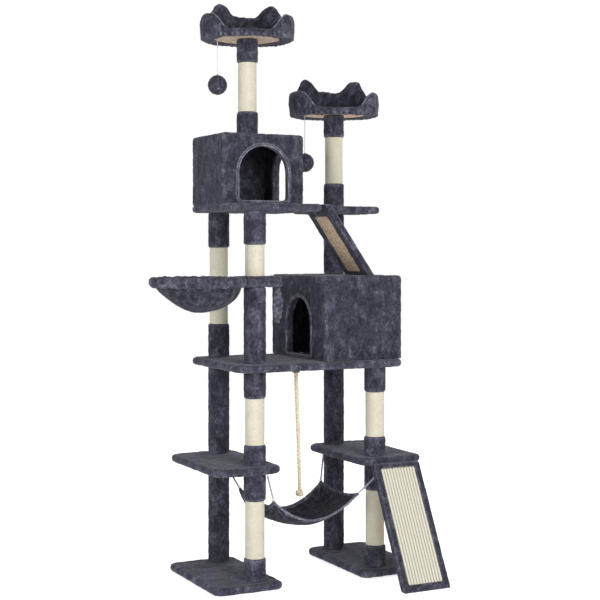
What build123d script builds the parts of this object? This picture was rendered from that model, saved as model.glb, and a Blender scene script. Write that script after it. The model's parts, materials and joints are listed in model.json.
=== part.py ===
from build123d import *
import math
import os

# Cat tree: four posts between two bases, shelves, two condos, a swivel basket, a hammock,
# two perches, a climbing rope, two toy balls, a bridge ramp and a scratching ramp.
# Millimetres. +X is the long side of the footprint (right), +Y is the rear, +Z is up.
# The origin is on the floor at the centre of the object's box.

# ---- posts: a 2 x 2 grid, with one more post on the upper condo's roof
LEFT_X, RIGHT_X = -141.5, 353.5
FRONT_Y, REAR_Y = -93.0, 232.0
TUBE_R, TUBE_WALL = 30.0, 3.0
SISAL_R = 35.0
PLUSH_R = 40.0
PLUG_H = 30.0
STUD_R = 3.9
STUD_HOLE_R = 4.5
THREAD_R = 4.0
HEAD_R, HEAD_H = 9.0, 5.0

# ---- boards: particle board wrapped in padded plush
BOARD_T = 28.0
CORE_T = 16.0
SKIN = 6.0
NOSE_R = 12.0
BASE_CORNER_R = 30.0
SHELF_CORNER_R = 50.0
LOW_TOP, DECK_TOP, UPPER_TOP = 440.0, 803.0, 1376.0
LEFT_FOOT = (-323.5, -56.5, -166.0, 296.0)
RIGHT_FOOT = (262.5, 526.5, -166.0, 296.0)
MIDDLE_DECK = (-239.5, 437.5, -182.0, 296.0)
UPPER_DECK = (-240.5, 124.5, -142.0, 296.0)
SIDE_SHELF = (183.5, 481.5, 57.0, 296.0)

# ---- condos: panelled boxes open at the bottom, standing on a deck
WALL_T, CONDO_SKIN = 24.0, 5.0
CONDO_EDGE_R = 10.0
UPPER_CONDO = (-225.5, 104.5, 2.0, 296.0, UPPER_TOP, 1636.0)
LOWER_CONDO = (110.5, 437.5, -152.0, 296.0, DECK_TOP, 1113.0)
SILL = 12.0
FRONT_DOOR = (-60.5, 101.0, 1592.0)     # centre, half width, top
SIDE_DOOR = (149.0, 70.0, 1575.0)
LOWER_DOOR = (60.0, 100.0, 1034.0)

# ---- perches, each a board with a padded wall round it; heights are from the board's underside
PERCH_UNDER_TOP, PERCH_UNDER_SIDE = 2001.0, 1740.0
PERCH_R, PERCH_BOARD_R, PERCH_BOARD_T = 180.0, 164.0, 15.0
PERCH_INNER_R, PERCH_PAD_T = 138.0, 10.0
PERCH_FRONT_H, PERCH_SIDE_H, PERCH_BACK_H, PERCH_EAR_H = 17.0, 88.0, 111.0, 155.0
PERCH_FRONT_HALF_W = 100.0      # half the width of the low front roll
PERCH_LOBE_REAR_Y = 60.0        # the side lobes end here, and the back begins
EAR_R, EAR_X, EAR_Y = 36.0, 90.0, 130.0
PERCH_DROOP = 12.0              # how far the wall hangs below the underside
PERCH_WRAP_R, PERCH_WRAP_T = 122.0, 4.0
PERCH_TURN = -21.0

# ---- basket on the joint of the front left post
ARM_Z0, ARM_Z1 = 1076.0, 1115.0
SLIDE_GAP = 0.3
RING_X, RING_R, ROLL_R, WIRE_R = -362.5, 153.0, 18.0, 5.0
BOWL_R, BOWL_DEPTH, BOWL_CENTRE_Z, CLOTH_T = 156.0, 105.0, 1090.0, 7.0
ARM_END_X, ARM_HALF_W = -37.5, 52.0
ARM_PLATE_T, ARM_PLATE_HALF_W = 6.0, 30.0
TAIL_X, TAIL_W, TAIL_LOW_Z, TAIL_T = -50.5, 36.0, 938.0, 14.0

# ---- hammock: corners and the eye screws that its cords hang from
HAMMOCK_LEFT_X, HAMMOCK_RIGHT_X = -83.5, 258.5
HAMMOCK_FRONT_Y, HAMMOCK_REAR_Y = -130.0, 163.0
HAMMOCK_CORNER_Z, HAMMOCK_SAG, HAMMOCK_CLOTH_T = 308.0, 108.0, 8.0
HOOK_Z = 400.0
HOOKS = [(-105.5, 275.0), (-95.5, -101.0), (370.5, -141.0), (306.5, 232.0)]
CORD_R = 1.6
CORD_END_GAP = 1.5           # from a cord's end to the cloth's corner
EYE_R, EYE_WIRE_R = 4.5, 1.2

# ---- climbing rope
ROPE_X, ROPE_Y, ROPE_R = 62.5, -14.0, 7.5
ROPE_CUP_R, ROPE_CUP_H, ROPE_CUP_BORE_R = 14.0, 20.0, 11.0
ROPE_CUP_ROOF_T = 4.0
ROPE_BEAD_R = 4.0
ROPE_KNOT_R = 17.0
ROPE_KNOT_GRIP = 9.0         # how deep the rope's end sits in its knot
# The rope's route below its bead: sideways drift from ROPE_X, and height.
ROPE_ROUTE = [(0.0, 758.7), (2.5, 690.0), (7.0, 590.0), (11.0, 490.0), (14.0, 395.0), (16.0, 320.0)]

# ---- toy balls: anchor places below the perches, from the perch centres
BALL_R, STRING_R = 36.0, 1.5
TOP_BALL_OFFSET, TOP_BALL_Z = (-113.0, 21.0), 1825.0
SIDE_BALL_OFFSET, SIDE_BALL_Z = (-105.0, 47.0), 1552.0
EYELET_R, EYELET_H, STRING_BEAD_R = 5.0, 3.0, 3.0

# ---- bridge ramp from the upper deck down to the lower condo's roof
BRIDGE_Y = (-127.0, 55.0)
BRIDGE_TOP_X, BRIDGE_FOOT_X = 124.6, 307.5
BRIDGE_SLOPE_DEG, BRIDGE_T = 55.0, 22.0
RAMP_CORE_T = 12.0
BRIDGE_HOOK_H = 12.0         # the board stops this far under the top's skin
BRIDGE_RIMS = (45.0, 32.0)   # plush rims beside the bare board: front and rear
BRIDGE_WINDOW = (16.0, 46.0)   # the bare board starts and ends this far from foot and top

# ---- scratching ramp leaning under the lower right shelf
SCRATCH_X = (291.5, 484.5)
SCRATCH_FOOT_Y, SCRATCH_TOP_Y = -412.0, -196.0
SCRATCH_TOP_Z = 422.0
SCRATCH_T, SCRATCH_RIM = 26.0, 25.0
SISAL_PANEL_T = 5.0
PANEL_FOOT_GAP, PANEL_TOP_GAP = 25.0, 15.0      # plush left below and above the panel
BACK_WINDOW = (45.0, 55.0, 40.0)    # the bare back: from the foot, the top and each side


def save(name, *solids):
    """Write one node: each solid is a loose piece of it."""
    shapes = [s for part in solids for s in (part if isinstance(part, list) else [part])]
    loose = [solid for shape in shapes for solid in shape.solids()]
    export_step(Compound(children=loose), f"parts/{name}.step")


def rod(x, y, z0, z1, radius):
    return Pos(x, y, z0) * Cylinder(radius, z1 - z0, align=(Align.CENTER, Align.CENTER, Align.MIN))


def tube(x, y, z0, z1, outer, inner):
    return rod(x, y, z0, z1, outer) - rod(x, y, z0 - 1, z1 + 1, inner)


def block(x0, x1, y0, y1, z0, z1):
    return Pos((x0 + x1) / 2, (y0 + y1) / 2, (z0 + z1) / 2) * Box(x1 - x0, y1 - y0, z1 - z0)


def slab(foot, z0, thickness, corner, inset=0.0):
    x0, x1, y0, y1 = foot
    outline = RectangleRounded(x1 - x0 - 2 * inset, y1 - y0 - 2 * inset, corner - inset)
    return extrude(Pos((x0 + x1) / 2, (y0 + y1) / 2, z0) * outline, thickness)


def between(start, end, radius):
    """A straight round bar between two points."""
    line = Line(start, end)
    return sweep(Plane(origin=start, z_dir=line % 0) * Circle(radius), path=line)


# ---- posts and what joins them

POSTS = {
    "rear_left": (LEFT_X, REAR_Y),
    "front_left": (LEFT_X, FRONT_Y),
    "rear_right": (RIGHT_X, REAR_Y),
    "front_right": (RIGHT_X, FRONT_Y),
    "top": ((UPPER_CONDO[0] + UPPER_CONDO[1]) / 2, (UPPER_CONDO[2] + UPPER_CONDO[3]) / 2),
}
LOW_UNDER, DECK_UNDER, UPPER_UNDER = LOW_TOP - BOARD_T, DECK_TOP - BOARD_T, UPPER_TOP - BOARD_T
LOW_SISAL, MIDDLE_SISAL = (108.0, 313.0), (512.0, 679.0)

# Each length of post: which post, its two ends, and the sisal part of it or None.
LENGTHS = [
    ("rear_left", BOARD_T, LOW_UNDER, None),
    ("rear_left", LOW_TOP, DECK_UNDER, None),
    ("rear_left", DECK_TOP, UPPER_UNDER, (929.0, 1217.0)),
    ("front_left", BOARD_T, LOW_UNDER, LOW_SISAL),
    ("front_left", LOW_TOP, DECK_UNDER, MIDDLE_SISAL),
    ("front_left", DECK_TOP, ARM_Z0, None),
    ("front_left", ARM_Z1, UPPER_UNDER, (ARM_Z1, 1228.0)),
    ("rear_right", BOARD_T, LOW_UNDER, None),
    ("rear_right", LOW_TOP, DECK_UNDER, None),
    ("rear_right", LOWER_CONDO[5], UPPER_UNDER, None),
    ("rear_right", UPPER_TOP, PERCH_UNDER_SIDE, (1469.0, 1652.0)),
    ("front_right", BOARD_T, LOW_UNDER, LOW_SISAL),
    ("front_right", LOW_TOP, DECK_UNDER, MIDDLE_SISAL),
    ("top", UPPER_CONDO[5], PERCH_UNDER_TOP, (1727.0, 1912.0)),
]

# Studs pass through whatever lies between two lengths; bolts end a post.
STUDS = [
    ("rear_left", LOW_UNDER, LOW_TOP), ("rear_left", DECK_UNDER, DECK_TOP),
    ("front_left", LOW_UNDER, LOW_TOP), ("front_left", DECK_UNDER, DECK_TOP),
    ("front_left", ARM_Z0, ARM_Z1),
    ("rear_right", LOW_UNDER, LOW_TOP), ("rear_right", UPPER_UNDER, UPPER_TOP),
    ("front_right", LOW_UNDER, LOW_TOP),
]
# Bolts up into a post: head height, then the height where the post starts.
BOLTS_UP = [(name, SKIN - 1, BOARD_T) for name in ("rear_left", "front_left", "rear_right", "front_right")]
BOLTS_UP += [
    ("rear_right", LOWER_CONDO[5] - WALL_T - HEAD_H, LOWER_CONDO[5]),
    ("top", UPPER_CONDO[5] - WALL_T - HEAD_H, UPPER_CONDO[5]),
]
# Bolts down into a post: the top of the head, then the height where the post ends.
CORE_TOP = SKIN + CORE_T
BOLTS_DOWN = [
    ("rear_left", UPPER_UNDER + CORE_TOP, UPPER_UNDER), ("front_left", UPPER_UNDER + CORE_TOP, UPPER_UNDER),
    ("rear_right", DECK_UNDER + CORE_TOP, DECK_UNDER), ("front_right", DECK_UNDER + CORE_TOP, DECK_UNDER),
    ("rear_right", PERCH_UNDER_SIDE + PERCH_BOARD_T, PERCH_UNDER_SIDE),
    ("top", PERCH_UNDER_TOP + PERCH_BOARD_T, PERCH_UNDER_TOP),
]


def holes_through(z0, z1):
    """Every stud or bolt shank hole between two heights, as cutting rods."""
    cuts = [rod(*POSTS[name], z0 - 1, z1 + 1, STUD_HOLE_R) for name, low, high in STUDS if z0 <= low < z1]
    for name, head, post in BOLTS_UP + BOLTS_DOWN:
        if z0 - 1 <= min(head, post) < z1:
            cuts.append(rod(*POSTS[name], z0 - 1, z1 + 1, STUD_HOLE_R))
    return cuts


def build_posts():
    tubes, plugs = [], []
    plush = {name: [] for name in POSTS}
    sisal = {name: [] for name in POSTS}
    for name, z0, z1, wrap in LENGTHS:
        x, y = POSTS[name]
        bore_r = TUBE_R - TUBE_WALL
        tubes.append(tube(x, y, z0, z1, TUBE_R, bore_r))
        plugs.append(tube(x, y, z0, z0 + PLUG_H, bore_r, THREAD_R))
        plugs.append(tube(x, y, z1 - PLUG_H, z1, bore_r, THREAD_R))
        low, high = wrap if wrap else (z1, z1)
        if wrap:
            sisal[name].append(tube(x, y, low, high, SISAL_R, TUBE_R))
        for sleeve_low, sleeve_high in ((z0, low), (high, z1)):
            if sleeve_high - sleeve_low > 1:
                plush[name].append(tube(x, y, sleeve_low, sleeve_high, PLUSH_R, TUBE_R))
    save("post_tubes", tubes)
    save("post_end_plugs", plugs)
    for name in POSTS:
        save(f"{name}_post_plush", plush[name])
        save(f"{name}_post_sisal", sisal[name])


def build_fasteners():
    reach = PLUG_H - 4
    save("joining_studs", [rod(*POSTS[n], z0 - reach, z1 + reach, STUD_R) for n, z0, z1 in STUDS])
    bolts = []
    for name, head, post in BOLTS_UP:
        x, y = POSTS[name]
        bolts.append(rod(x, y, head, head + HEAD_H, HEAD_R) + rod(x, y, head, post + reach, STUD_R))
    for name, head, post in BOLTS_DOWN:
        x, y = POSTS[name]
        bolts.append(rod(x, y, head - HEAD_H, head, HEAD_R) + rod(x, y, post - reach, head, STUD_R))
    save("post_bolts", bolts)


def head_recess(z0, z1):
    """Counterbores for the bolt heads that lie between two heights."""
    cuts = []
    for name, head, _ in BOLTS_UP:
        if z0 - 1 <= head < z1 and head < BOARD_T:
            cuts.append(rod(*POSTS[name], z0 - 1, head + HEAD_H, HEAD_R + 1))
    for name, head, _ in BOLTS_DOWN:
        if z0 < head <= z1:
            cuts.append(rod(*POSTS[name], head - HEAD_H, head, HEAD_R + 1))
    return cuts


def build_board(name, foot, z0, corner):
    cuts = [c for c in holes_through(z0, z0 + BOARD_T)]
    cuts = [c for c in cuts if foot[0] < c.center().X < foot[1] and foot[2] < c.center().Y < foot[3]]
    recess = [c for c in head_recess(z0, z0 + BOARD_T)
              if foot[0] < c.center().X < foot[1] and foot[2] < c.center().Y < foot[3]]
    core = slab(foot, z0 + SKIN, CORE_T, corner, SKIN)
    outer = slab(foot, z0, BOARD_T, corner)
    outer = fillet(outer.edges().group_by(Axis.Z)[0] + outer.edges().group_by(Axis.Z)[-1], NOSE_R)
    cover = outer - core
    for cut in cuts + recess:
        core = core - cut
        cover = cover - cut
    save(f"{name}_board", core)
    save(f"{name}_cover", cover)


# ---- condos

def arch(centre, half_width, base_z, top_z):
    """An arched door outline in a local X (along the wall), Y (up) plane."""
    spring = top_z - half_width
    side = Polyline((centre - half_width, spring), (centre - half_width, base_z),
                    (centre + half_width, base_z), (centre + half_width, spring))
    crown = ThreePointArc((centre + half_width, spring), (centre, top_z), (centre - half_width, spring))
    return make_face(side + crown)


def arch_cut(wall, door, base_z, grow):
    """The solid that cuts a door through the front (Y) or side (X) wall at a place."""
    axis, place = wall
    centre, half_width, top = door
    face = arch(centre, half_width + grow, base_z - grow, top + grow)
    plane = Plane.XZ.offset(-place - WALL_T / 2) if axis == "Y" else Plane.YZ.offset(place + WALL_T / 2)
    return extrude(plane * face, WALL_T, both=True)


def build_condo(name, box, doors):
    x0, x1, y0, y1, z0, z1 = box
    skin = CONDO_SKIN
    outer = block(x0, x1, y0, y1, z0, z1)
    outer = fillet(outer.edges().filter_by(Axis.Z) + outer.edges().group_by(Axis.Z)[-1], CONDO_EDGE_R)
    in_x, in_y = (x0 + WALL_T, x1 - WALL_T), (y0 + WALL_T, y1 - WALL_T)
    roof_z = z1 - WALL_T
    walls = [
        (x0, x1, y0, in_y[0], z0, roof_z),
        (x0, x1, in_y[1], y1, z0, roof_z),
        (x0, in_x[0], *in_y, z0, roof_z),
        (in_x[1], x1, *in_y, z0, roof_z),
    ]
    roof = (x0, x1, y0, y1, roof_z, z1)
    covers = [block(*space) & outer for space in walls + [roof]]
    panels = [block(left + skin, right - skin, front + skin, rear - skin, low, high - skin)
              for left, right, front, rear, low, high in walls]
    panels.append(block(x0 + skin, x1 - skin, y0 + skin, y1 - skin, roof_z + skin, z1 - skin))
    for wall, door in doors:
        panels = [panel - arch_cut(wall, door, z0 + SILL, skin) for panel in panels]
    for panel in panels:
        covers = [cover - panel for cover in covers]
    for wall, door in doors:
        covers = [cover - arch_cut(wall, door, z0 + SILL, 0.0) for cover in covers]
    for post, head, start in BOLTS_UP:
        if z0 < head < z1:
            hole = rod(*POSTS[post], head - 1, start + 1, STUD_HOLE_R)
            panels = [panel - hole for panel in panels]
            covers = [cover - hole for cover in covers]
    save(f"{name}_panels", panels)
    save(f"{name}_cover", covers)


# ---- perches

def build_perch(name, post, under):
    x, y = POSTS[post]
    place = Pos(x, y, under) * Rot(0, 0, PERCH_TURN)
    board_top, low = PERCH_BOARD_T, -PERCH_DROOP
    hole = rod(0, 0, -1, board_top + 1, STUD_HOLE_R) + rod(0, 0, board_top - HEAD_H, board_top + 1, HEAD_R + 1)
    board = rod(0, 0, 0, board_top, PERCH_BOARD_R)
    wall = tube(0, 0, low, PERCH_BACK_H, PERCH_R, PERCH_INNER_R)
    wall = wall - rod(0, 0, low - 1, 0, PERCH_BOARD_R)
    wall = wall - block(-PERCH_R, PERCH_R, -PERCH_R, PERCH_LOBE_REAR_Y, PERCH_SIDE_H, PERCH_EAR_H)
    wall = wall - block(-PERCH_FRONT_HALF_W, PERCH_FRONT_HALF_W, -PERCH_R, 0, PERCH_FRONT_H, PERCH_EAR_H)
    band = tube(0, 0, PERCH_SIDE_H / 2, PERCH_EAR_H, PERCH_R, PERCH_INNER_R)
    for side in (-EAR_X, EAR_X):
        ear = Pos(side, EAR_Y, PERCH_EAR_H - EAR_R) * Rot(90, 0, 0) * Cylinder(EAR_R, PERCH_R)
        wall = wall + (ear & band)
    pad = rod(0, 0, board_top, board_top + PERCH_PAD_T, PERCH_INNER_R + 1)
    wrap = tube(0, 0, -PERCH_WRAP_T, board_top, PERCH_R - 1, PERCH_WRAP_R)
    save(f"{name}_board", place * (board - hole))
    save(f"{name}_cushion", place * (wall + pad + wrap - board))


# ---- basket

def build_basket():
    x, y = POSTS["front_left"]
    mid_z = (ARM_Z0 + ARM_Z1) / 2
    z0, z1 = ARM_Z0 + SLIDE_GAP, ARM_Z1 - SLIDE_GAP
    plate_z = mid_z - ARM_PLATE_T / 2
    plate = block(RING_X + RING_R, ARM_END_X - ARM_HALF_W / 2, y - ARM_PLATE_HALF_W, y + ARM_PLATE_HALF_W,
                  plate_z, plate_z + ARM_PLATE_T)
    frame = Pos(RING_X, y, mid_z) * Torus(RING_R, WIRE_R) + plate
    arm_start = RING_X + RING_R + SKIN
    arm_len = ARM_END_X - arm_start
    stadium = Pos(arm_start + arm_len / 2 - ARM_HALF_W / 2, y, z0) * SlotOverall(arm_len + ARM_HALF_W, 2 * ARM_HALF_W)
    arm = extrude(stadium, z1 - z0)
    arm = fillet(arm.edges().group_by(Axis.Z)[0] + arm.edges().group_by(Axis.Z)[-1], NOSE_R)
    arm = arm & block(arm_start, ARM_END_X + 1, y - ARM_HALF_W - 1, y + ARM_HALF_W + 1, z0 - 1, z1 + 1)
    roll = Pos(RING_X, y, mid_z) * Torus(RING_R, ROLL_R)
    bore = rod(x, y, z0 - 1, z1 + 1, STUD_HOLE_R)
    save("basket_frame", frame - bore)
    save("basket_frame_cover", roll + arm - frame - bore)

    top_z = mid_z - ROLL_R - SLIDE_GAP
    outer = scale(Sphere(1), (BOWL_R, BOWL_R, BOWL_DEPTH))
    inner = scale(Sphere(1), (BOWL_R - CLOTH_T, BOWL_R - CLOTH_T, BOWL_DEPTH - CLOTH_T))
    below = block(-BOWL_R - 1, BOWL_R + 1, -BOWL_R - 1, BOWL_R + 1, -BOWL_DEPTH - 1, top_z - BOWL_CENTRE_Z)
    save("basket_cloth", Pos(RING_X, y, BOWL_CENTRE_Z) * ((outer - inner) & below))

    tail_h = z0 - TAIL_LOW_Z
    middle = TAIL_LOW_Z + tail_h / 2
    leaf = make_face(
        ThreePointArc((TAIL_X, TAIL_LOW_Z), (TAIL_X + TAIL_W / 2, middle), (TAIL_X, z0))
        + ThreePointArc((TAIL_X, z0), (TAIL_X - TAIL_W / 2, middle), (TAIL_X, TAIL_LOW_Z)))
    save("basket_tail", extrude(Plane.XZ.offset(-y) * leaf, TAIL_T / 2, both=True))


# ---- hammock

def hammock_corners():
    z = HAMMOCK_CORNER_Z
    return [(HAMMOCK_LEFT_X, HAMMOCK_REAR_Y, z), (HAMMOCK_LEFT_X, HAMMOCK_FRONT_Y, z),
            (HAMMOCK_RIGHT_X, HAMMOCK_FRONT_Y, z), (HAMMOCK_RIGHT_X, HAMMOCK_REAR_Y, z)]


def build_hammock():
    left, right, top = HAMMOCK_LEFT_X, HAMMOCK_RIGHT_X, HAMMOCK_CORNER_Z
    mid_x = (left + right) / 2
    upper = ThreePointArc((left, top), (mid_x, top - HAMMOCK_SAG), (right, top))
    low = HAMMOCK_SAG + HAMMOCK_CLOTH_T
    lower = ThreePointArc((right, top - HAMMOCK_CLOTH_T), (mid_x, top - low), (left, top - HAMMOCK_CLOTH_T))
    ends = Line((right, top), (right, top - HAMMOCK_CLOTH_T)) + Line((left, top - HAMMOCK_CLOTH_T), (left, top))
    strip = make_face(upper + lower + ends)
    cloth = extrude(Plane.XZ.offset(-HAMMOCK_REAR_Y) * strip, HAMMOCK_REAR_Y - HAMMOCK_FRONT_Y)
    save("hammock_cloth", cloth)

    cords, eyes = [], []
    for (x, y), (cx, cy, cz) in zip(HOOKS, hammock_corners()):
        start, end = Vector(x, y, HOOK_Z), Vector(cx, cy, cz)
        along = (end - start).normalized()
        cords.append(between(start + along * (EYE_WIRE_R + CORD_R), end - along * (CORD_R + CORD_END_GAP), CORD_R))
        eye = Pos(x, y, HOOK_Z + EYE_R) * Rot(90, 0, 0) * Torus(EYE_R, EYE_WIRE_R)
        eyes.append(eye + rod(x, y, HOOK_Z + 2 * EYE_R, LOW_UNDER, EYE_WIRE_R))
    save("hammock_cords", cords)
    save("hammock_hooks", eyes)


# ---- climbing rope

def cord_tube(points, radius):
    """A cord: straight runs joined by the largest tangent arcs that its runs allow."""
    places = [Vector(*point) for point in points]
    radii = []
    for before, here, after in zip(places, places[1:], places[2:]):
        turn = math.radians((here - before).get_angle(after - here))
        shorter = min((here - before).length, (after - here).length)
        radii.append(0.45 * shorter / math.tan(turn / 2))
    print("cord radii", [round(r) for r in radii])
    path = FilletPolyline(*places, radius=radii)
    return sweep(Plane(origin=path @ 0, z_dir=path % 0) * Circle(radius), path=path)


def build_rope():
    top = DECK_UNDER
    mouth = top - ROPE_CUP_H
    cup = rod(ROPE_X, ROPE_Y, mouth, top, ROPE_CUP_R) - rod(ROPE_X, ROPE_Y, mouth - 1, top - ROPE_CUP_ROOF_T, ROPE_CUP_BORE_R)
    save("rope_anchor", cup)
    bead_z = ROPE_ROUTE[0][1] + ROPE_BEAD_R + SLIDE_GAP
    save("rope_bead", Pos(ROPE_X, ROPE_Y, bead_z) * Sphere(ROPE_BEAD_R))
    rope = cord_tube([(ROPE_X + drift, ROPE_Y, z) for drift, z in ROPE_ROUTE], ROPE_R)
    save("climbing_rope", rope)
    end_drift, end_z = ROPE_ROUTE[-1]
    knot = Pos(ROPE_X + end_drift, ROPE_Y, end_z + ROPE_KNOT_GRIP - ROPE_KNOT_R) * Sphere(ROPE_KNOT_R)
    save("rope_end_knot", knot - rod(ROPE_X + end_drift, ROPE_Y, end_z, end_z + ROPE_KNOT_R, ROPE_KNOT_R))


# ---- toy balls

def build_balls():
    eyelets = []
    for name, post, offset, under, ball_z in (
            ("left", "top", TOP_BALL_OFFSET, PERCH_UNDER_TOP, TOP_BALL_Z),
            ("right", "rear_right", SIDE_BALL_OFFSET, PERCH_UNDER_SIDE, SIDE_BALL_Z)):
        x, y = POSTS[post][0] + offset[0], POSTS[post][1] + offset[1]
        eyelets.append(rod(x, y, under - PERCH_WRAP_T - EYELET_H, under - PERCH_WRAP_T, EYELET_R))
        bead_z = under - PERCH_WRAP_T - EYELET_H - SLIDE_GAP - STRING_BEAD_R
        save(f"{name}_ball_bead", Pos(x, y, bead_z) * Sphere(STRING_BEAD_R))
        save(f"{name}_ball_string", rod(x, y, ball_z + BALL_R, bead_z - STRING_BEAD_R - SLIDE_GAP, STRING_R))
        save(f"{name}_ball", Pos(x, y, ball_z) * Sphere(BALL_R))
    save("string_eyelets", eyelets)


# ---- ramps

def prism(points, plane, start, end):
    """A straight-sided solid: an outline in XZ or YZ, from one place to another along the third axis."""
    face = make_face(Polyline(*points, close=True))
    if plane == "XZ":
        return extrude(Plane.XZ.offset(-end) * face, end - start)
    return extrude(Plane.YZ.offset(start) * face, end - start)


def build_bridge():
    slope = math.tan(math.radians(BRIDGE_SLOPE_DEG))
    roof, deck = LOWER_CONDO[5], UPPER_TOP

    def layer(low, high, top_z, foot_z):
        """The ramp's cross-section between two depths, measured square to its underside."""
        def x_at(depth, z):
            return BRIDGE_FOOT_X + depth / math.sin(math.radians(BRIDGE_SLOPE_DEG)) - (z - roof) / slope
        points = [(x_at(low, foot_z), foot_z), (x_at(high, foot_z), foot_z), (x_at(high, top_z), top_z)]
        wall_z = roof + (x_at(low, roof) - BRIDGE_TOP_X) * slope
        if wall_z < top_z:
            points += [(BRIDGE_TOP_X, top_z), (BRIDGE_TOP_X, wall_z)]
        else:
            points += [(x_at(low, top_z), top_z)]
        return points

    near, far = BRIDGE_Y
    outer = prism(layer(0, BRIDGE_T, deck, roof), "XZ", near, far)
    skin = (BRIDGE_T - RAMP_CORE_T) / 2
    core = prism(layer(skin, skin + RAMP_CORE_T, deck - SKIN - BRIDGE_HOOK_H, roof + SKIN), "XZ", near + SKIN, far - SKIN)
    foot_gap, top_gap = BRIDGE_WINDOW
    front_rim, rear_rim = BRIDGE_RIMS
    window = prism(layer(-1, skin + 1, deck - top_gap, roof + foot_gap), "XZ", near + front_rim, far - rear_rim)
    save("bridge_ramp_board", core)
    save("bridge_ramp_cover", outer - core - window)


def scratch_layer(low, high, foot_z, top_z):
    """The scratching ramp's cross-section between two depths below its front face."""
    angle = math.atan2(SCRATCH_TOP_Z, SCRATCH_TOP_Y - SCRATCH_FOOT_Y)

    def y_at(depth, z):
        return SCRATCH_FOOT_Y + depth / math.sin(angle) + z / math.tan(angle)
    return [(y_at(low, foot_z), foot_z), (y_at(high, foot_z), foot_z),
            (y_at(high, top_z), top_z), (y_at(low, top_z), top_z)]


def build_scratcher():
    x0, x1 = SCRATCH_X
    skin = (SCRATCH_T - RAMP_CORE_T) / 2
    outer = prism(scratch_layer(0, SCRATCH_T, 0, SCRATCH_TOP_Z), "YZ", x0, x1)
    core_span = (SKIN, SCRATCH_TOP_Z - SKIN)
    core = prism(scratch_layer(skin, skin + RAMP_CORE_T, *core_span), "YZ", x0 + SKIN, x1 - SKIN)
    panel_span = (PANEL_FOOT_GAP, SCRATCH_TOP_Z - PANEL_TOP_GAP)
    left, right = x0 + SCRATCH_RIM, x1 - SCRATCH_RIM
    panel = prism(scratch_layer(skin - SISAL_PANEL_T, skin, *panel_span), "YZ", left, right)
    window = prism(scratch_layer(-1, skin, *panel_span), "YZ", left, right)
    foot_gap, top_gap, side_gap = BACK_WINDOW
    back = prism(scratch_layer(SCRATCH_T - skin, SCRATCH_T + 1, foot_gap, SCRATCH_TOP_Z - top_gap), "YZ",
                 x0 + side_gap, x1 - side_gap)
    save("scratch_ramp_board", core)
    save("scratch_ramp_cover", outer - core - window - back)
    save("scratch_ramp_sisal", panel)


def main():
    os.makedirs("parts", exist_ok=True)
    build_posts()
    build_fasteners()
    build_board("base_left", LEFT_FOOT, 0.0, BASE_CORNER_R)
    build_board("base_right", RIGHT_FOOT, 0.0, BASE_CORNER_R)
    build_board("lower_left_shelf", LEFT_FOOT, LOW_UNDER, SHELF_CORNER_R)
    build_board("lower_right_shelf", RIGHT_FOOT, LOW_UNDER, SHELF_CORNER_R)
    build_board("middle_deck", MIDDLE_DECK, DECK_UNDER, SHELF_CORNER_R)
    build_board("upper_deck", UPPER_DECK, UPPER_UNDER, SHELF_CORNER_R)
    build_board("side_shelf", SIDE_SHELF, UPPER_UNDER, SHELF_CORNER_R)
    build_condo("upper_condo", UPPER_CONDO,
                [(("Y", UPPER_CONDO[2]), FRONT_DOOR), (("X", UPPER_CONDO[1] - WALL_T), SIDE_DOOR)])
    build_condo("lower_condo", LOWER_CONDO, [(("X", LOWER_CONDO[0]), LOWER_DOOR)])
    build_perch("top_perch", "top", PERCH_UNDER_TOP)
    build_perch("side_perch", "rear_right", PERCH_UNDER_SIDE)
    build_basket()
    build_hammock()
    build_rope()
    build_balls()
    build_bridge()
    build_scratcher()


main()
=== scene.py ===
import json
import math

import bmesh
import bpy
import numpy as np
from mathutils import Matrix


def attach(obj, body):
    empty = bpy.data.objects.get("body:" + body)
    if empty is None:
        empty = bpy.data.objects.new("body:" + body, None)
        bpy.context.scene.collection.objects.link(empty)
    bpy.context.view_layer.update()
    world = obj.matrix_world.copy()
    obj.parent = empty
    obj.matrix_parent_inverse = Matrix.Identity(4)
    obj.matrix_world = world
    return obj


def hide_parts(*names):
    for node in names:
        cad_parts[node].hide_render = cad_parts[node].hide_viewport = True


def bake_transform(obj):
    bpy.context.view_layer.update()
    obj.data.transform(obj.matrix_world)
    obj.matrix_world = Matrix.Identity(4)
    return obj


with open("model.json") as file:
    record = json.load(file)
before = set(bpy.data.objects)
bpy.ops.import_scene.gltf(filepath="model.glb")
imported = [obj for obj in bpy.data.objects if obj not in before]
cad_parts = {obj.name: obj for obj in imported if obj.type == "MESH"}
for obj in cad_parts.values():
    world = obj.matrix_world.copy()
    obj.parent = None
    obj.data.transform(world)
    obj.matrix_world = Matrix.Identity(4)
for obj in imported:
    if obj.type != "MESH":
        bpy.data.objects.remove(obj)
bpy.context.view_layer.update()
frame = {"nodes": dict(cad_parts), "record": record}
NODES = frame["nodes"]

# Metres throughout. The same main dimensions as the CAD part, in its own frame.
LEFT_X, RIGHT_X, FRONT_Y, REAR_Y = -0.1415, 0.3535, -0.093, 0.232
TUBE_R, SISAL_R, PLUSH_R = 0.030, 0.035, 0.040
BASE_TOP = 0.028
SHELF_UNDER, SHELF_TOP = 0.412, 0.440
DECK_UNDER, DECK_TOP = 0.775, 0.803
UPPER_UNDER, UPPER_TOP = 1.348, 1.376
TOP_POST_X, TOP_POST_Y = -0.0605, 0.149
TOP_PERCH_UNDER, SIDE_PERCH_UNDER = 2.001, 1.740
PERCH_TURN = math.radians(-21)
RING_X, RING_R = -0.3625, 0.153
ROPE_X, ROPE_Y = 0.0625, -0.014
BALL_R, STRING_R = 0.036, 0.0015
RIB, WEAVE_START = 0.0119, 0.3168     # the scratching ramp's woven ribs, and where the first one starts


# ---------------------------------------------------------------- noise

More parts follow.
